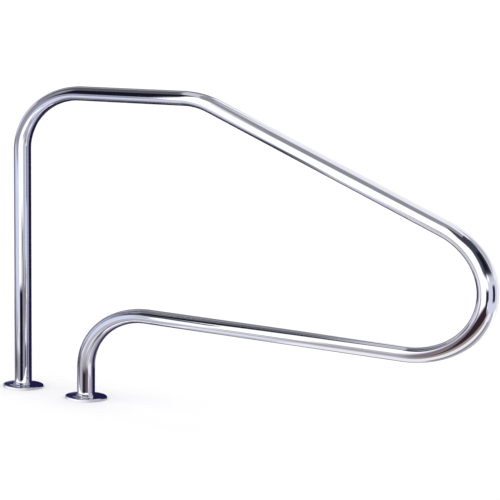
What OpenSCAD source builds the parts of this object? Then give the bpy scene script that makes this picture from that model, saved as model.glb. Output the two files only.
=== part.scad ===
// Deck-mounted pool handrail: one bent stainless tube with two legs side by side,
// an escutcheon over each leg, and a wedge anchor set in the deck under each leg.
// The deck surface is z = 0 and the rear (tall) leg stands on the z axis.
// The rail lies in the plane y = 0 and reaches out over the water along +X.

/* [Rail] */
// Outside diameter of the tube
tube_d = 48.3; // [42:0.1:51]
// Wall thickness of the tube
tube_wall = 1.65; // [1.2:0.05:3]
// Centreline radius of every bend
bend_r = 205.5; // [150:0.5:215]
// Overall height above the deck
rail_h = 1077; // [950:1:1200]
// Height of the lower run's centreline above the deck
lower_h = 318; // [300:1:380]
// Distance between the two leg axes
leg_gap = 224; // [190:1:280]
// Downward slope of the long run, in degrees
slope = 26.75; // [20:0.05:35]
// Distance from the rear leg's axis to the corner where the slope starts
slope_start = 588; // [500:1:680]

/* [Escutcheons] */
// Outside diameter of each escutcheon
plate_d = 113; // [112:0.5:130]
// Height of the turned-down rim
plate_h = 10; // [5:0.5:12]
// Height of the collar's lip above the deck
collar_h = 18; // [16:0.5:25]
// Thickness of the pressed sheet
sheet = 1.2; // [0.8:0.1:1.6]

/* [Anchors] */
// Depth of each anchor below the deck
anchor_depth = 102; // [95:1:130]
// Wall around the tube's bore
anchor_wall = 5; // [4:0.5:7]
// Diameter of the flange that is flush with the deck
flange_d = 110; // [110:1:112]
// Thickness of that flange
flange_t = 6; // [4:0.5:8]
// Back slope of the wedge and of its pocket, in degrees
wedge_angle = 5; // [3:0.5:5]
// Width of the wedge
wedge_w = 24; // [20:1:26]
// Height of the wedge
wedge_h = 50; // [40:1:55]

/* [Fasteners] */
// Major diameter of the wedge bolt
bolt_d = 12.5; // [11:0.1:12.5]
// Length of the wedge bolt under its head
bolt_len = 63.5; // [50:0.5:65]
// Pitch of the wedge bolt's thread
bolt_pitch = 1.954; // [1.5:0.001:2.5]
// Width of its hexagonal head across the flats
hex_flats = 19.05; // [18:0.05:19.5]
// Shank diameter of the bonding screw
bond_d = 6.3; // [5:0.1:6.5]

/* [Hidden] */
$fn = 96;

// Rail: corners of the bent tube's centreline, as [x, z], from one foot to the other
tube_r = tube_d / 2;
stop_t = 6;
foot_z = stop_t + 0.1 - anchor_depth;
top_z = rail_h - tube_r;
return_x = slope_start + (top_z - lower_h) / tan(slope);
CORNERS = [
    [0, foot_z],
    [0, top_z],
    [slope_start, top_z],
    [return_x, lower_h],
    [leg_gap, lower_h],
    [leg_gap, foot_z]
];
LAST = len(CORNERS) - 1;
// The bender draws the tube down by this much, and each straight run laps into the bend
draw_down = 0.1;
lap = 1;

// Fits between the pieces
slip = 0.1;
seat = 0.05;
bore_play = 0.35;

// Escutcheon: outside radius of the rim's bend, and the fillet at the collar's root
rim_bend = 3;
collar_root = 4;

// Anchor: everything is measured from the leg's axis, with the wedge on the -Y side
bore_r = tube_r + bore_play;
head_h = 8;
washer_t = 2;
recess_depth = washer_t + head_h + 1;
ledge_t = 8;
bolt_y = -36;
bolt_r = bolt_d / 2;
recess_r = 12.2;
recess_mouth = 14;
pocket_top = -(recess_depth + ledge_t);
pocket_bottom = 14 - anchor_depth;
pocket_back = 8;
pocket_gap = 0.5;
pocket_reach = 5;
stop_ledge = 6;
wedge_top = pocket_top - 5;
lobe_wall = 4;
lobe_inset = 0.8;
lobe_out = -bolt_y + pocket_back + (pocket_top - pocket_bottom) * tan(wedge_angle) + lobe_wall;
fin_t = 6;
fin_h = 32;
fin_r = 48;
bond_z = -45;
bond_y = 40;
bond_r = bond_d / 2;
bond_grip = 11;
boss_d = 16;

// Heading of the run that leaves corner i, in degrees from +X towards +Z
function run_angle(i) = atan2(CORNERS[i + 1].y - CORNERS[i].y, CORNERS[i + 1].x - CORNERS[i].x);
// Signed turn at corner i, between -180 and 180
function turn(i) = let (t = run_angle(i) - run_angle(i - 1)) t > 180 ? t - 360 : t < -180 ? t + 360 : t;
// Distance from corner i to the start of its bend; the two feet have no bend
function setback(i) = i == 0 || i == LAST ? 0 : bend_r * tan(abs(turn(i)) / 2);
function lap_at(i) = i == 0 || i == LAST ? 0 : lap;
function unit(angle) = [cos(angle), sin(angle)];

// Moves children from the rear leg to the front leg
module at_front() translate([leg_gap, 0, 0]) children();

module ring(r_out, r_in) difference() {
    circle(r = r_out);
    circle(r = r_in);
}

// Straight run of tube between corner i and the next one
module run(i) {
    a = run_angle(i);
    start = CORNERS[i] + unit(a) * (setback(i) - lap_at(i));
    end = CORNERS[i + 1] - unit(a) * (setback(i + 1) - lap_at(i + 1));
    translate([start.x, 0, start.y])
        rotate([0, 90 - a, 0])
            linear_extrude(norm(end - start))
                ring(tube_r, tube_r - tube_wall);
}

// Bend at corner i: a piece of torus whose section is drawn down a little
module bend(i) {
    side = sign(turn(i));
    touch = CORNERS[i] - unit(run_angle(i - 1)) * setback(i);
    centre = touch + bend_r * unit(run_angle(i - 1) + 90 * side);
    from = run_angle(i - 1) - 90 * side + min(turn(i), 0);
    translate([centre.x, 0, centre.y])
        rotate([90, 0, 0])
            rotate(from)
                rotate_extrude(angle = abs(turn(i)), $fn = 180)
                    translate([bend_r, 0])
                        ring(tube_r - draw_down, tube_r - tube_wall + draw_down);
}

module bent_tube() {
    for (i = [0 : LAST - 1]) run(i);
    for (i = [1 : LAST - 1]) bend(i);
}

// Half section of the pressed escutcheon, as the area under its outer face
module plate_section(t) {
    rim_r = plate_d / 2 - t;
    rim_round = rim_bend - t;
    top = plate_h - t;
    collar_r = tube_r + slip + 2 * sheet - t;
    root = collar_root + t;
    difference() {
        union() {
            square([rim_r - rim_round, top]);
            square([rim_r, top - rim_round]);
            translate([rim_r - rim_round, top - rim_round]) circle(r = rim_round);
            square([collar_r + root, top + root]);
        }
        translate([collar_r + root, top + root]) circle(r = root);
        translate([0, -plate_h]) square([plate_d, plate_h]);
    }
}

// Pressed disc with a turned-down rim and a raised collar whose lip is rounded over
module escutcheon() {
    bore = tube_r + slip;
    lip = sheet / 2;
    rotate_extrude($fn = 180) difference() {
        union() {
            plate_section(0);
            square([bore + 2 * sheet, collar_h - lip]);
            translate([bore + lip, collar_h - 2 * lip]) square([2 * sheet - 2 * lip, lip]);
            translate([bore + lip, collar_h - lip]) circle(r = lip);
            translate([bore + 2 * sheet - lip, collar_h - lip]) circle(r = lip);
            translate([bore + lip, collar_h - lip]) square([2 * sheet - 2 * lip, lip]);
        }
        plate_section(sheet);
        translate([0, -1]) square([bore, collar_h + 2]);
    }
}

// Side view of the wedge's space, from height z1 up to z2, less a gap at its sloping back
module wedge_side(z1, z2, width, gap) {
    front = bore_r - pocket_reach;
    back1 = pocket_back - bolt_y + (pocket_top - z1) * tan(wedge_angle) - gap;
    back2 = pocket_back - bolt_y + (pocket_top - z2) * tan(wedge_angle) - gap;
    rotate([90, 0, 90])
        linear_extrude(width, center = true)
            polygon([[-front, z1], [-back1, z1], [-back2, z2], [-front, z2]]);
}

// Cast anchor: barrel, deck flange, lobe for the wedge, keying fins and bonding boss
module socket() {
    lobe_w = wedge_w + 2 * (pocket_gap + lobe_wall);
    difference() {
        union() {
            translate([0, 0, -anchor_depth]) cylinder(r = bore_r + anchor_wall, h = anchor_depth);
            translate([0, 0, -flange_t]) cylinder(d = flange_d, h = flange_t);
            intersection() {
                translate([-lobe_w / 2, -lobe_out, -anchor_depth]) cube([lobe_w, lobe_out, anchor_depth - 1]);
                translate([0, 0, -anchor_depth]) cylinder(r = flange_d / 2 - lobe_inset, h = anchor_depth);
            }
            for (a = [20, 90, 160])
                rotate(a)
                    translate([0, -fin_t / 2, -anchor_depth]) cube([fin_r, fin_t, fin_h]);
            translate([0, bore_r + 1, bond_z]) rotate([-90, 0, 0]) cylinder(d = boss_d, h = bond_y - bore_r - 1);
        }
        translate([0, 0, stop_t - anchor_depth]) cylinder(r = bore_r, h = anchor_depth);
        translate([0, 0, -anchor_depth - 1]) cylinder(r = bore_r - stop_ledge, h = anchor_depth);
        translate([0, bolt_y, -recess_depth]) cylinder(r = recess_r, h = recess_depth + 1);
        translate([-recess_mouth / 2, bolt_y, -recess_depth]) cube([recess_mouth, -bolt_y, recess_depth + 1]);
        translate([0, bolt_y, pocket_top - 1]) cylinder(r = bolt_r + slip, h = ledge_t + 2);
        wedge_side(pocket_bottom, pocket_top, wedge_w + 2 * pocket_gap, 0);
        translate([0, bond_y - bond_grip - 1, bond_z]) rotate([-90, 0, 0]) cylinder(r = bond_r + seat, h = bond_grip + 2);
    }
}

// Cast wedge, threaded for the bolt: hollow-faced to the tube, and wider towards its foot
module wedge() {
    difference() {
        wedge_side(wedge_top - wedge_h, wedge_top, wedge_w, seat);
        translate([0, 0, wedge_top - wedge_h - 1]) cylinder(r = tube_r + seat, h = wedge_h + 2);
        translate([0, bolt_y, wedge_top - wedge_h - 1]) cylinder(r = bolt_r + seat, h = wedge_h + 2);
    }
}

// Hexagon head with a chamfered crown, of height h, standing on z = 0
module hex_head(h) {
    corner_r = hex_flats / 2 / cos(30);
    crown_r = hex_flats / 2 - 0.5;
    chamfer_h = 1.2;
    intersection() {
        cylinder(r = corner_r, h = h, $fn = 6);
        rotate_extrude() polygon([[0, 0], [corner_r, 0], [corner_r, h - chamfer_h], [crown_r, h], [0, h]]);
    }
}

// Wedge bolt: a plain shank in the ledge, then thread grooves down to a chamfered point
module bolt() {
    thread_depth = 0.6;
    run_out = 4;
    point = 2;
    plain = washer_t + ledge_t + run_out;
    turns = floor((bolt_len - plain - point) / bolt_pitch);
    grooves = [for (n = [0 : turns - 1]) each [
        [bolt_r, -plain - n * bolt_pitch],
        [bolt_r - thread_depth, -plain - (n + 0.5) * bolt_pitch]
    ]];
    translate([0, bolt_y, washer_t - recess_depth]) {
        hex_head(head_h);
        rotate_extrude() polygon(concat(
            [[0, 1], [bolt_r, 1]],
            grooves,
            [[bolt_r, -plain - turns * bolt_pitch], [bolt_r - 1, -bolt_len], [0, -bolt_len]]
        ));
    }
}

module washer() {
    rim_gap = 0.6;
    hole_gap = 0.5;
    translate([0, bolt_y, -recess_depth])
        linear_extrude(washer_t)
            ring(recess_r - rim_gap, bolt_r + hole_gap);
}

// Slotted screw that clamps the pool's bonding wire to the anchor's boss
module bonding_screw() {
    head_r = 6.2;
    head_t = 3.5;
    slot_w = 1.4;
    slot_depth = 1.6;
    translate([0, bond_y, bond_z]) rotate([-90, 0, 0]) difference() {
        union() {
            translate([0, 0, 1 - bond_grip]) cylinder(r = bond_r, h = bond_grip);
            cylinder(r1 = head_r, r2 = head_r - 1, h = head_t);
        }
        translate([-head_r, -slot_w / 2, head_t - slot_depth]) cube([2 * head_r, slot_w, slot_depth + 1]);
    }
}

module rail_tube() color("silver") bent_tube();
module rear_escutcheon() color("lightsteelblue") escutcheon();
module front_escutcheon() color("lightsteelblue") at_front() escutcheon();
module rear_socket() color("darkgoldenrod") socket();
module front_socket() color("darkgoldenrod") at_front() socket();
module rear_wedge() color("goldenrod") wedge();
module front_wedge() color("goldenrod") at_front() wedge();
module rear_bolt() color("gray") bolt();
module front_bolt() color("gray") at_front() bolt();
module rear_washer() color("lightgray") washer();
module front_washer() color("lightgray") at_front() washer();
module rear_bonding_screw() color("peru") bonding_screw();
module front_bonding_screw() color("peru") at_front() bonding_screw();

rail_tube();
rear_escutcheon();
front_escutcheon();
rear_socket();
front_socket();
rear_wedge();
front_wedge();
rear_bolt();
front_bolt();
rear_washer();
front_washer();
rear_bonding_screw();
front_bonding_screw();
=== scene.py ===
"""Looks for the pool handrail: a mirror-polished bent tube and two pressed escutcheons, with the deck
anchors under them, on a plain white deck. Metres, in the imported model's frame: the deck is z = 0, the
rear leg stands on the z axis and the rail reaches out along +X."""

import math

import bpy
from mathutils import Matrix, Vector, noise


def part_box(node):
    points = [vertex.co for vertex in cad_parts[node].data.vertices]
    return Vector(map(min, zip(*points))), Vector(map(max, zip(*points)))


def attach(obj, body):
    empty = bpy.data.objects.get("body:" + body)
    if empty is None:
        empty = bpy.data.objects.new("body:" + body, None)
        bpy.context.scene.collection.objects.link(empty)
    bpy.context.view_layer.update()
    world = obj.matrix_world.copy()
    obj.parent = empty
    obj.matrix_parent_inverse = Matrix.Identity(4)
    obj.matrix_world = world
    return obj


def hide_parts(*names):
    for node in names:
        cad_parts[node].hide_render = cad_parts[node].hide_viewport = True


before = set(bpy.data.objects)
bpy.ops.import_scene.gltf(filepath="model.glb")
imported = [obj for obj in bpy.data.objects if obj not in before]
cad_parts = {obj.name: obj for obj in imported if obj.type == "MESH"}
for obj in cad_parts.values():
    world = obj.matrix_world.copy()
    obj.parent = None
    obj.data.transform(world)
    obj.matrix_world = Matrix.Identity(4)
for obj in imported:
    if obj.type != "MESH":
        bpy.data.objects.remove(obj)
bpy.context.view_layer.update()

MM = 0.001


# ---- Dimensions: from the frame where its boxes hold them, else as in the CAD model ----
def middle(node):
    low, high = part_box(node)
    return (low + high) / 2


rail_low, rail_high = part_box("rail_tube")
plate_low, plate_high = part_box("rear_escutcheon")

TUBE_R = (rail_high.y - rail_low.y) / 2
TUBE_WALL = 1.65 * MM
BEND_R = 205.5 * MM
SLOPE = math.radians(26.75)
SLOPE_START = 588 * MM
LOWER_Z = 318 * MM
FOOT_Z = rail_low.z
TOP_Z = rail_high.z - TUBE_R
LEG_GAP = middle("front_escutcheon").x - middle("rear_escutcheon").x
RETURN_X = SLOPE_START + (TOP_Z - LOWER_Z) / math.tan(SLOPE)
CORNERS = [
    Vector((0, FOOT_Z)),
    Vector((0, TOP_Z)),
    Vector((SLOPE_START, TOP_Z)),
    Vector((RETURN_X, LOWER_Z)),
    Vector((LEG_GAP, LOWER_Z)),
    Vector((LEG_GAP, FOOT_Z)),
]

# A bent tube is a little flatter in its bends, and polishing leaves it faintly wavy
BEND_RAMP = 30 * MM
FLATTENING = 0.5 * MM
WAVE = 0.05 * MM
WAVE_LENGTH = 70 * MM

PLATE_R = (plate_high.y - plate_low.y) / 2
PLATE_RIM = 10 * MM
COLLAR_TOP = plate_high.z
SHEET = 1.2 * MM
COLLAR_R = TUBE_R + 0.1 * MM


# ---- Meshes ----
def new_object(name, verts, faces, material, uvs=None):
    """Smooth-shaded mesh object; uvs holds one (u, v) in metres for each vertex."""
    mesh = bpy.data.meshes.new(name)
    mesh.from_pydata(verts, [], faces)
    mesh.materials.append(material)
    mesh.polygons.foreach_set("use_smooth", [True] * len(mesh.polygons))
    if uvs:
        layer = mesh.uv_layers.new(name="surface")
        for loop in mesh.loops:
            layer.data[loop.index].uv = uvs[loop.vertex_index]
    obj = bpy.data.objects.new(name, mesh)
    bpy.context.scene.collection.objects.link(obj)
    return obj


def smoothstep(t):
    t = max(0.0, min(1.0, t))
    return t * t * (3 - 2 * t)


def bend_path(corners, radius, straight_step, bend_step):
    """Stations along a polyline with rounded corners, as (point, heading, length so far, bent share).
    The bent share rises from 0 on a straight run to 1 inside a bend."""
    stations = []
    here = corners[0]
    length = 0.0
    for i in range(1, len(corners)):
        ahead = (corners[i] - here).normalized()
        heading = math.atan2(ahead.y, ahead.x)
        turn = 0.0
        if i < len(corners) - 1:
            after = (corners[i + 1] - corners[i]).normalized()
            turn = math.atan2(ahead.x * after.y - ahead.y * after.x, ahead.dot(after))
        run = (corners[i] - here).length - radius * math.tan(abs(turn) / 2)
        count = max(2, round(run / straight_step))
        for k in range(count + 1 if not turn else count):
            stations.append((here + ahead * (run * k / count), heading, length + run * k / count, 0.0))
        here = here + ahead * run
        length += run
        side = math.copysign(1, turn)
        centre = here + radius * side * Vector((-ahead.y, ahead.x))
        count = round(abs(turn) / bend_step)
        for k in range(count):
            share = k / count
            angle = heading + turn * share
            ramp = smoothstep(min(share, 1 - share) * radius * abs(turn) / BEND_RAMP)
            point = centre + radius * side * Vector((math.sin(angle), -math.cos(angle)))
            stations.append((point, angle, length + radius * abs(turn) * share, side * ramp))
        angle = heading + turn
        if turn:
            here = centre + radius * side * Vector((math.sin(angle), -math.cos(angle)))
        length += radius * abs(turn)
    return stations


def tube_skin(stations, radius, sides):
    """Rings of points round the path, and each point's (u, v) along the surface."""
    verts, uvs = [], []
    for point, heading, length, bent in stations:
        across = Vector((-math.sin(heading), 0, math.cos(heading)))
        flat = FLATTENING * abs(bent)
        for k in range(sides):
            angle = 2 * math.pi * k / sides
            seed = Vector((math.cos(angle), math.sin(angle), length / WAVE_LENGTH))
            r = radius + WAVE * noise.noise(seed)
            side = across * ((r - flat) * math.cos(angle))
            verts.append(Vector((point.x, (r + flat / 4) * math.sin(angle), point.y)) + side)
            uvs.append((angle * radius, length))
    return verts, uvs


def tube(name, stations, sides, material):
    """Hollow tube with a closed end face at each foot."""
    outer, outer_uv = tube_skin(stations, TUBE_R, sides)
    inner, inner_uv = tube_skin(stations, TUBE_R - TUBE_WALL, sides)
    shift = len(outer)
    faces = []
    for i in range(len(stations) - 1):
        for k in range(sides):
            a, b = i * sides + k, i * sides + (k + 1) % sides
            faces.append((a, a + sides, b + sides, b))
            faces.append((shift + a, shift + b, shift + b + sides, shift + a + sides))
    last = shift - sides
    for k in range(sides):
        n = (k + 1) % sides
        faces.append((k, n, shift + n, shift + k))
        faces.append((last + n, last + k, shift + last + k, shift + last + n))
    return new_object(name, outer + inner, faces, material, outer_uv + inner_uv)


def arc(centre, radius, start, end, steps):
    """Points (r, z) on a circle from one angle to another, in degrees."""
    angles = [math.radians(start + (end - start) * k / steps) for k in range(steps + 1)]
    return [(centre[0] + radius * math.cos(a), centre[1] + radius * math.sin(a)) for a in angles]


def revolve(name, profile, at, sides, material):
    """Closed ring solid: a closed outline of (r, z) points turned round a vertical axis."""
    verts, faces, uvs = [], [], []
    count = len(profile)
    for k in range(sides):
        angle = 2 * math.pi * k / sides
        for r, z in profile:
            verts.append((at.x + r * math.cos(angle), at.y + r * math.sin(angle), at.z + z))
            uvs.append((angle, r))
    for k in range(sides):
        for i in range(count):
            a, b = k * count + i, k * count + (i + 1) % count
            c, d = (k + 1) % sides * count + i, (k + 1) % sides * count + (i + 1) % count
            faces.append((a, c, d, b))
    return new_object(name, verts, faces, material, uvs)


def plate_outline():
    """Pressed sheet: rim, shallow dish, collar fillet and a lip that is rolled over at the top."""
    dish = 0.9 * MM
    bend = 3 * MM
    root = 4 * MM
    lip = SHEET
    collar_out = COLLAR_R + 2 * SHEET
    floor_from = collar_out + root
    floor_to = PLATE_R - bend

    def dished(r, z):
        share = (r - floor_from) / (floor_to - floor_from)
        return (r, z - dish * math.sin(math.pi * share) ** 2)

    spans = [floor_from + (floor_to - floor_from) * k / 16 for k in range(1, 16)]
    outer = [(PLATE_R, 0)]
    outer += arc((floor_to, PLATE_RIM - bend), bend, 0, 90, 10)
    outer += [dished(r, PLATE_RIM) for r in reversed(spans)]
    outer += arc((floor_from, PLATE_RIM + root), root, 270, 180, 10)
    outer += arc((collar_out - lip, COLLAR_TOP - lip), lip, 0, 90, 8)
    outer += arc((COLLAR_R + lip, COLLAR_TOP - lip), lip, 90, 180, 8)[1:]
    inner = [(COLLAR_R, PLATE_RIM + root)]
    inner += arc((floor_from, PLATE_RIM + root), root + SHEET, 180, 270, 10)
    inner += [dished(r, PLATE_RIM - SHEET) for r in spans]
    inner += arc((floor_to, PLATE_RIM - bend), bend - SHEET, 90, 0, 6)
    inner += [(PLATE_R - SHEET, 0)]
    return outer + inner


# ---- Materials ----
class Shader:
    """Short way to build a node tree that ends in a Principled surface."""

    def __init__(self, name):
        self.material = bpy.data.materials.new(name)
        self.material.use_nodes = True
        self.tree = self.material.node_tree
        self.surface = self.tree.nodes["Principled BSDF"]

    def node(self, kind, **inputs):
        """A node. Each input is a value or another node's output, under the input's name, or under i and
        its number. A name with a capital sets an attribute of the node."""
        made = self.tree.nodes.new("ShaderNode" + kind)
        for key, value in inputs.items():
            if key[0].isupper():
                setattr(made, key.lower(), value)
        for key, value in inputs.items():
            if key[1:].isdigit():
                self.link(made.inputs[int(key[1:])], value)
            elif not key[0].isupper():
                self.link(made.inputs[key.replace("_", " ").title()], value)
        return made

    def link(self, socket, value):
        if isinstance(value, bpy.types.NodeSocket):
            self.tree.links.new(value, socket)
        else:
            socket.default_value = value

    def coordinates(self, kind, scale):
        """Texture coordinates ("Object" or "UV") with a stretch along each axis."""
        source = self.node("TexCoord").outputs[kind]
        return self.node("Mapping", vector=source, scale=scale).outputs[0]

    def noise(self, vector, scale, detail, roughness):
        made = self.node("TexNoise", vector=vector, scale=scale, detail=detail, roughness=roughness)
        return made.outputs["Fac"]

    def remap(self, value, low, high, source=(0.3, 0.7)):
        """Maps source's range to low..high and clamps."""
        return self.node("MapRange", i0=value, i1=source[0], i2=source[1], i3=low, i4=high).outputs[0]

    def blend_colours(self, share, first, second):
        made = self.node("Mix", Data_Type="RGBA")
        self.link(made.inputs[0], share)
        self.link(made.inputs[6], (*first, 1))
        self.link(made.inputs[7], (*second, 1))
        return made.outputs[2]

    def bump(self, height, distance, strength=1.0, normal=None):
        made = self.node("Bump", height=height, distance=distance, strength=strength)
        if normal:
            self.link(made.inputs["Normal"], normal)
        return made.outputs[0]

    def set(self, **inputs):
        for key, value in inputs.items():
            self.link(self.surface.inputs[key.replace("_", " ").title()], value)


def polished_steel(name, line_stretch):
    """Mirror-polished stainless: faint buffing lines, which run along the axis that line_stretch makes
    small, soft smears and a few dull spots."""
    s = Shader(name)
    lines = s.noise(s.coordinates("UV", line_stretch), 900, 3, 0.6)
    smears = s.noise(s.coordinates("Object", (1, 1, 1)), 9, 3, 0.6)
    spots = s.noise(s.coordinates("Object", (1, 1, 1)), 260, 2, 0.4)
    base = s.remap(smears, 0.018, 0.05)
    fine = s.remap(lines, 0.0, 0.02)
    dull = s.remap(spots, 0.0, 0.05, (0.66, 0.74))
    total = s.node("Math", i0=base, i1=fine).outputs[0]
    total = s.node("Math", i0=total, i1=dull).outputs[0]
    s.set(
        metallic=1.0,
        base_color=s.blend_colours(s.remap(smears, 0, 1), (0.90, 0.90, 0.93), (0.84, 0.84, 0.88)),
        roughness=total,
        normal=s.bump(lines, 0.002 * MM, 0.6),
    )
    return s.material


def cast_bronze(name, colour, dark, grain):
    """Sand-cast bronze: coarse pitted skin, darker where it is dull."""
    s = Shader(name)
    where = s.coordinates("Object", (1, 1, 1))
    skin = s.noise(where, 420, 6, 0.7)
    patina = s.noise(where, 28, 5, 0.6)
    s.set(
        metallic=1.0,
        base_color=s.blend_colours(s.remap(patina, 0, 1, (0.35, 0.65)), colour, dark),
        roughness=s.remap(patina, 0.34, 0.62),
        normal=s.bump(skin, grain),
    )
    return s.material


def turned_metal(name, colour, dark, roughness):
    """Bar-turned or rolled fastener: fine rings round z and light handling marks."""
    s = Shader(name)
    rings = s.noise(s.coordinates("Object", (0.05, 0.05, 1)), 2400, 2, 0.5)
    marks = s.noise(s.coordinates("Object", (1, 1, 1)), 150, 5, 0.7)
    s.set(
        metallic=1.0,
        base_color=s.blend_colours(s.remap(marks, 0, 1), colour, dark),
        roughness=s.remap(marks, roughness, roughness + 0.16),
        normal=s.bump(rings, 0.02 * MM, 0.5, s.bump(marks, 0.03 * MM, 0.5)),
    )
    return s.material


def floor_paint():
    """Matt white with a hardly visible mottle."""
    s = Shader("white_floor")
    mottle = s.noise(s.coordinates("Object", (1, 1, 1)), 3, 4, 0.5)
    s.set(base_color=s.blend_colours(mottle, (0.93, 0.93, 0.94), (0.97, 0.97, 0.97)), roughness=0.9)
    return s.material


# ---- Object ----
STRAIGHT_STEP = 12 * MM
BEND_STEP = math.radians(1.5)
TUBE_SIDES = 128
PLATE_SIDES = 192


def finish_node(node, material):
    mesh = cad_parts[node].data
    mesh.materials.clear()
    mesh.materials.append(material)


rail_steel = polished_steel("rail_polished_stainless", (1, 0.03, 1))
plate_steel = polished_steel("plate_polished_stainless", (0.02, 1, 1))

stations = bend_path(CORNERS, BEND_R, STRAIGHT_STEP, BEND_STEP)
rail = tube("polished_rail", stations, TUBE_SIDES, rail_steel)
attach(rail, "rail")
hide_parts("rail_tube")

for end, x in (("rear", 0), ("front", LEG_GAP)):
    plate = revolve(end + "_pressed_plate", plate_outline(), Vector((x, 0, 0)), PLATE_SIDES, plate_steel)
    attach(plate, end + "_plate")
    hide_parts(end + "_escutcheon")

socket_bronze = cast_bronze("socket_cast_bronze", (0.62, 0.42, 0.22), (0.33, 0.23, 0.13), 0.5 * MM)
wedge_bronze = cast_bronze("wedge_machined_bronze", (0.75, 0.54, 0.30), (0.52, 0.36, 0.20), 0.12 * MM)
bolt_steel = turned_metal("bolt_plain_stainless", (0.70, 0.70, 0.71), (0.52, 0.52, 0.54), 0.22)
screw_brass = turned_metal("screw_turned_brass", (0.86, 0.68, 0.34), (0.62, 0.46, 0.20), 0.24)
for end in ("rear", "front"):
    finish_node(end + "_socket", socket_bronze)
    finish_node(end + "_wedge", wedge_bronze)
    finish_node(end + "_bolt", bolt_steel)
    finish_node(end + "_washer", bolt_steel)
    finish_node(end + "_bonding_screw", screw_brass)


# ---- Floor and studio ----
scene = bpy.context.scene

FLANGE_R = 55 * MM
FLOOR_R = 60.0
FLOOR_Z = -0.1 * MM
RING_SIDES = 96


def disc_with_holes(name, radius, z, holes, hole_r, material):
    """Flat deck with round openings that take the anchors."""
    curve = bpy.data.curves.new(name, "CURVE")
    curve.dimensions = "2D"
    curve.fill_mode = "BOTH"
    for (cx, cy), r in [((0, 0), radius)] + [(h, hole_r) for h in holes]:
        ring = curve.splines.new("POLY")
        ring.points.add(RING_SIDES - 1)
        ring.use_cyclic_u = True
        for k in range(RING_SIDES):
            angle = 2 * math.pi * k / RING_SIDES
            ring.points[k].co = (cx + r * math.cos(angle), cy + r * math.sin(angle), 0, 1)
    outline = bpy.data.objects.new(name + "_outline", curve)
    scene.collection.objects.link(outline)
    evaluated = outline.evaluated_get(bpy.context.evaluated_depsgraph_get())
    mesh = bpy.data.meshes.new_from_object(evaluated)
    bpy.data.objects.remove(outline)
    mesh.materials.clear()
    mesh.materials.append(material)
    obj = bpy.data.objects.new(name, mesh)
    scene.collection.objects.link(obj)
    obj.location.z = z
    return obj


leg_places = [(0, 0), (LEG_GAP, 0)]
floor = disc_with_holes("floor", FLOOR_R, FLOOR_Z, leg_places, FLANGE_R, floor_paint())
# The steel reflects the cards below and not the floor
floor.visible_glossy = False


def card_glow(name, width, height, soft, colour):
    """Emission on the face only, fading out over the last stretch before each edge."""
    material = bpy.data.materials.new(name)
    material.use_nodes = True
    material.cycles.emission_sampling = "NONE"
    tree = material.node_tree
    tree.nodes.clear()
    parts = tree.nodes.new("ShaderNodeSeparateXYZ")
    tree.links.new(tree.nodes.new("ShaderNodeTexCoord").outputs["Object"], parts.inputs[0])

    def math_node(operation, first, second=0.0):
        made = tree.nodes.new("ShaderNodeMath")
        made.operation = operation
        for socket, value in zip(made.inputs, (first, second)):
            if isinstance(value, bpy.types.NodeSocket):
                tree.links.new(value, socket)
            else:
                socket.default_value = value
        return made.outputs[0]

    def inside(coordinate, half):
        ramp = tree.nodes.new("ShaderNodeMapRange")
        ramp.interpolation_type = "SMOOTHSTEP"
        tree.links.new(math_node("ABSOLUTE", coordinate), ramp.inputs["Value"])
        for key, value in (("From Min", half - soft), ("From Max", half), ("To Min", 1), ("To Max", 0)):
            ramp.inputs[key].default_value = value
        return ramp.outputs[0]

    face = math_node("SUBTRACT", 1.0, tree.nodes.new("ShaderNodeNewGeometry").outputs["Backfacing"])
    cover = math_node("MULTIPLY", inside(parts.outputs[1], width / 2), inside(parts.outputs[2], height / 2))
    glow = tree.nodes.new("ShaderNodeEmission")
    glow.inputs["Color"].default_value = (*colour, 1)
    mix = tree.nodes.new("ShaderNodeMixShader")
    tree.links.new(math_node("MULTIPLY", face, cover), mix.inputs[0])
    tree.links.new(tree.nodes.new("ShaderNodeBsdfTransparent").outputs[0], mix.inputs[1])
    tree.links.new(glow.outputs[0], mix.inputs[2])
    tree.links.new(mix.outputs[0], tree.nodes.new("ShaderNodeOutputMaterial").inputs["Surface"])
    return material


def card(name, centre, width, height, facing, tilt, soft, colour):
    """Panel that only polished surfaces see. facing is the direction its face looks in, in degrees from
    +X; tilt leans its face upwards."""
    w, h = width / 2, height / 2
    mesh = bpy.data.meshes.new(name)
    mesh.from_pydata([(0, -w, -h), (0, w, -h), (0, w, h), (0, -w, h)], [], [(0, 1, 2, 3)])
    mesh.materials.append(card_glow(name, width, height, soft, colour))
    obj = bpy.data.objects.new(name, mesh)
    scene.collection.objects.link(obj)
    obj.matrix_world = (
        Matrix.Translation(centre)
        @ Matrix.Rotation(math.radians(facing), 4, "Z")
        @ Matrix.Rotation(-math.radians(tilt), 4, "Y")
    )
    obj.visible_camera = obj.visible_diffuse = obj.visible_shadow = obj.visible_transmission = False


# The cards stand round the rail like the sides of a room. Their places and colours were picked
# to give the steel the bands it has in the photograph. Those on one side lie a step apart, the later one
# in front.
FRONT_Y = -0.9
BACK_Y = 1.0
RIGHT_X = 2.2
CEILING_Z = 2.6
LOW_Z = -12 * MM
STEP = 0.5 * MM
layers = {}


def panel(place, name, left, right, low, high, soft, colour):
    """Card on a side of the room: left..right along X (along Y on the right wall), low..high along Z
    (along Y on the floor and the ceiling)."""
    layers[place] = layers.get(place, 0) + 1
    lift = STEP * layers[place]
    u, v = (left + right) / 2, (low + high) / 2
    centre, facing, tilt = {
        "front": ((u, FRONT_Y + lift, v), 90, 0),
        "back": ((u, BACK_Y - lift, v), -90, 0),
        "right": ((RIGHT_X - lift, u, v), 180, 0),
        "ceiling": ((u, v, CEILING_Z - lift), 90, -90),
        "floor": ((u, v, LOW_Z + lift), 90, 90),
    }[place]
    card(name, Vector(centre), right - left, high - low, facing, tilt, soft, colour)


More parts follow.
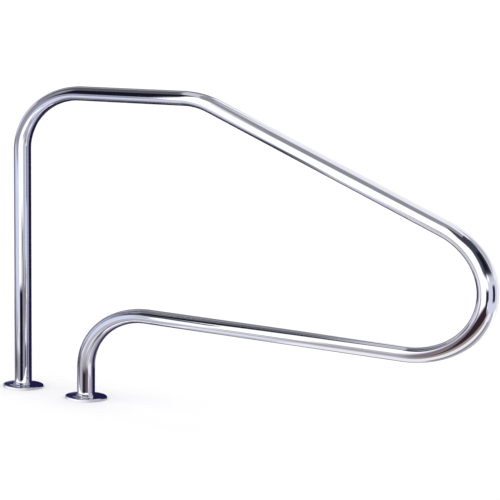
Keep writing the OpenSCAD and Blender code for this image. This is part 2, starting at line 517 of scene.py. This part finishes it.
def by_leg(name, leg_x, towards, distance, width, low, high, soft, colour):
    """Narrow upright card close to a leg, which faces it. towards is measured from +Y, clockwise."""
    angle = math.radians(towards)
    centre = Vector((leg_x + distance * math.sin(angle), distance * math.cos(angle), (low + high) / 2))
    card(name, centre, width, high - low, -90 - towards, 0, soft, colour)


WHITE = (1.2, 1.2, 1.25)
PALE_BLUE = (0.70, 0.75, 0.96)
NAVY = (0.016, 0.012, 0.060)
SLATE = (0.02, 0.022, 0.035)
GREY = (0.26, 0.26, 0.31)
BROWN = (0.035, 0.020, 0.030)
TAN = (0.36, 0.30, 0.24)

panel("front", "front_white", -0.22, 3.2, -0.1, 2.6, 0.03, WHITE)
panel("front", "front_pale", -2.2, -0.2, -0.1, 0.75, 0.15, PALE_BLUE)
panel("front", "front_middle", -3.4, -0.2, 0.57, 1.08, 0.12, (0.32, 0.33, 0.41))
panel("front", "front_dark", -1.4, -0.12, 1.0, 3.2, 0.12, (0.010, 0.009, 0.024))
panel("front", "front_grey_left", -3.4, -0.82, 0.9, 1.95, 0.2, GREY)
panel("front", "front_grey_far", -4.0, -1.4, 1.7, 2.6, 0.2, GREY)
panel("front", "front_grey_top", 0.3, 1.6, 1.5, 3.4, 0.4, (0.28, 0.28, 0.31))
panel("front", "front_dark_top", 1.3, 2.4, 1.1, 2.6, 0.15, (0.06, 0.055, 0.08))
panel("front", "front_dark_right", 1.65, 2.4, 0.6, 1.4, 0.15, (0.08, 0.085, 0.12))
panel("front", "front_low_tan", -0.05, 1.1, -0.1, 0.2, 0.1, (0.42, 0.39, 0.37))
panel("front", "front_soft_grey", 0.3, 0.8, 0.0, 0.5, 0.12, (0.55, 0.53, 0.54))
panel("front", "front_low_brown", 0.75, 2.1, -0.1, 0.25, 0.08, BROWN)
panel("front", "front_blob", 1.6, 3.4, 0.12, 0.48, 0.1, SLATE)
panel("back", "back_white", 0.2, 3.2, -0.1, 2.6, 0.1, (0.95, 0.95, 1.0))
panel("back", "back_grey", -1.8, 0.35, -0.1, 2.6, 0.25, (0.25, 0.25, 0.28))
panel("back", "back_low_dark", -1.0, 0.1, -0.1, 0.45, 0.12, (0.02, 0.02, 0.03))
panel("back", "back_violet", 1.5, 3.2, 0.8, 2.6, 0.25, (0.50, 0.50, 0.58))
panel("ceiling", "ceiling_grey", 0.1, 3.2, -0.9, 1.0, 0.05, (0.30, 0.30, 0.34))
panel("ceiling", "ceiling_dark", -6.0, -0.4, -0.9, 1.0, 0.25, (0.11, 0.11, 0.12))
panel("ceiling", "ceiling_white", 0.5, 2.6, -0.1, 1.6, 0.3, (0.90, 0.90, 0.95))
panel("right", "right_pale", -1.2, 1.0, -0.1, 0.7, 0.1, (0.72, 0.74, 0.86))
panel("right", "right_dark", -1.4, 0.35, 0.72, 2.7, 0.12, (0.05, 0.055, 0.08))
panel("right", "right_black", -0.75, 0.1, 0.8, 1.5, 0.15, (0.012, 0.012, 0.02))
panel("right", "right_blob", -0.14, 0.34, 0.2, 0.62, 0.08, SLATE)
panel("floor", "floor_grey", -3, 4, -3, 3, 0.02, (0.50, 0.50, 0.57))
panel("floor", "floor_white", 0.55, 2.4, -0.35, 0.16, 0.12, (0.95, 0.94, 0.98))
panel("floor", "floor_patch", 0.24, 0.62, -0.36, -0.04, 0.06, (0.85, 0.85, 0.90))
panel("floor", "floor_pale", -0.5, 0.38, -1.1, -0.48, 0.12, (0.80, 0.82, 0.92))
panel("floor", "floor_dark_left", -1.6, 0.05, -0.58, 1.6, 0.45, (0.025, 0.022, 0.035))
panel("floor", "floor_back", -0.35, 1.0, 0.12, 1.0, 0.1, (0.19, 0.19, 0.22))
panel("floor", "floor_thin_tan", 0.38, 0.95, -0.75, -0.52, 0.08, (0.30, 0.28, 0.27))
panel("floor", "floor_tan", 0.9, 1.95, -0.60, -0.18, 0.12, TAN)
panel("floor", "floor_brown", 0.85, 2.1, -1.15, -0.42, 0.12, BROWN)
panel("floor", "floor_far", 1.2, 2.2, 0.45, 1.1, 0.15, WHITE)
panel("floor", "floor_strip", 1.1, 1.95, -0.03, 0.22, 0.08, (0.27, 0.26, 0.25))
panel("floor", "floor_shade", 0.05, 0.38, 0.06, 0.35, 0.08, (0.05, 0.03, 0.045))
card("return_shade", Vector((1.12, -0.27, 0.31)), 0.36, 0.30, 0, 0, 0.10, (0.22, 0.19, 0.22))
card("lower_shade", Vector((0.25, -0.26, 0.47)), 0.40, 0.15, 51, 0, 0.04, (0.07, 0.065, 0.07))

# Cards close to the legs, which reach from below the deck to near the start of the leg's bend
CARD_FOOT = -0.1
for leg_name, leg_x, top in (("rear", 0, 0.92), ("front", LEG_GAP, 0.10)):
    middle_z = (CARD_FOOT + top) / 2
    behind_at = Vector((leg_x + 0.05, 0.062, middle_z))
    plate_blue_at = Vector((leg_x - 0.04, 0.145, 0.03))
    card(leg_name + "_behind", behind_at, 0.16, top - CARD_FOOT, -90, 0, 0.02, NAVY)
    by_leg(leg_name + "_line", leg_x, 73, 0.15, 0.075, CARD_FOOT, top, 0.03, (0.29, 0.30, 0.38))
    by_leg(leg_name + "_side", leg_x, -98, 0.12, 0.13, CARD_FOOT, top, 0.05, (0.19, 0.19, 0.28))
    panel("floor", leg_name + "_foot", leg_x - 0.14, leg_x + 0.14, -0.15, -0.03, 0.04, WHITE)
    card(leg_name + "_plate_blue", plate_blue_at, 0.52, 0.13, -90, 0, 0.03, (0.024, 0.016, 0.105))
by_leg("rear_shade", 0, 122, 0.155, 0.085, 0.32, 0.92, 0.03, (0.46, 0.50, 0.64))
by_leg("rear_shade_low", 0, 128, 0.155, 0.085, 0.0, 0.36, 0.03, (0.30, 0.31, 0.42))
by_leg("rear_streak", 0, 162, 0.15, 0.16, CARD_FOOT, 0.36, 0.05, (0.008, 0.006, 0.014))
by_leg("front_shade", LEG_GAP, 133, 0.135, 0.10, CARD_FOOT, 0.10, 0.03, (0.13, 0.10, 0.12))
by_leg("front_streak", LEG_GAP, 165, 0.13, 0.14, CARD_FOOT, 0.10, 0.04, BROWN)
by_leg("front_tan", LEG_GAP, 160, 0.135, 0.12, 0.06, 0.11, 0.02, (0.45, 0.42, 0.38))

# The camera and matt surfaces see a white studio, polished ones see it a little darker between the cards
STUDIO_WHITE = (1.14, 1.14, 1.14)
STUDIO_REFLECTED = (0.62, 0.62, 0.68)
world = bpy.data.worlds.new("studio")
scene.world = world
world.use_nodes = True
tree = world.node_tree
shades = tree.nodes.new("ShaderNodeMix")
shades.data_type = "RGBA"
tree.links.new(tree.nodes.new("ShaderNodeLightPath").outputs["Is Glossy Ray"], shades.inputs[0])
shades.inputs[6].default_value = (*STUDIO_WHITE, 1)
shades.inputs[7].default_value = (*STUDIO_REFLECTED, 1)
tree.links.new(shades.outputs[2], tree.nodes["Background"].inputs[0])

# ---- Camera ----
# Its place, turn, lens and shift come from a fit to the photograph's outline, which looks stretched
# sideways. The shift holds only within HOME_REACH of that place.
HOME_REACH = 100 * MM
CAMERA_AT = Vector((5.9133, -7.0165, 2.4100))
AXIS_AZIMUTH, AXIS_ELEVATION, ROLL = math.radians(78.040), math.radians(10.227), math.radians(-8.103)
LENS_MM = 153.94
SHIFT_X, SHIFT_Y = 3.7010, 0.1140


def camera_turn(azimuth, elevation, roll):
    """Rotation of a camera that sits at this azimuth and elevation and looks at the centre."""
    out = math.cos(elevation)
    back = Vector((math.sin(azimuth) * out, -math.cos(azimuth) * out, math.sin(elevation)))
    right = Vector((0, 0, 1)).cross(back).normalized()
    up = back.cross(right)
    level = Matrix((right, up, back)).transposed()
    return (level @ Matrix.Rotation(roll, 3, "Z")).to_quaternion()


def shift_at_home(path, amount):
    """Drives the lens shift by the camera's distance from home, so that any other view is centred."""
    curve = lens.driver_add(path)
    curve.driver.type = "SUM"
    away = curve.driver.variables.new()
    away.type = "LOC_DIFF"
    away.targets[0].id = camera
    away.targets[1].id = home
    for modifier in list(curve.modifiers):
        curve.modifiers.remove(modifier)
    while curve.keyframe_points:
        curve.keyframe_points.remove(curve.keyframe_points[0])
    for distance, value in ((0, amount), (HOME_REACH, 0)):
        curve.keyframe_points.insert(distance, value).interpolation = "CONSTANT"
    curve.extrapolation = "CONSTANT"


lens = bpy.data.cameras.new("camera")
camera = bpy.data.objects.new("camera", lens)
scene.collection.objects.link(camera)
camera.rotation_mode = "QUATERNION"
camera.location = CAMERA_AT
camera.rotation_quaternion = camera_turn(AXIS_AZIMUTH, AXIS_ELEVATION, ROLL)
lens.lens = LENS_MM
lens.clip_end = 200
home = bpy.data.objects.new("camera_home", None)
scene.collection.objects.link(home)
home.location = CAMERA_AT
shift_at_home("shift_x", SHIFT_X)
shift_at_home("shift_y", SHIFT_Y)
scene.camera = camera
scene.view_settings.view_transform = "Standard"

bpy.context.view_layer.update()
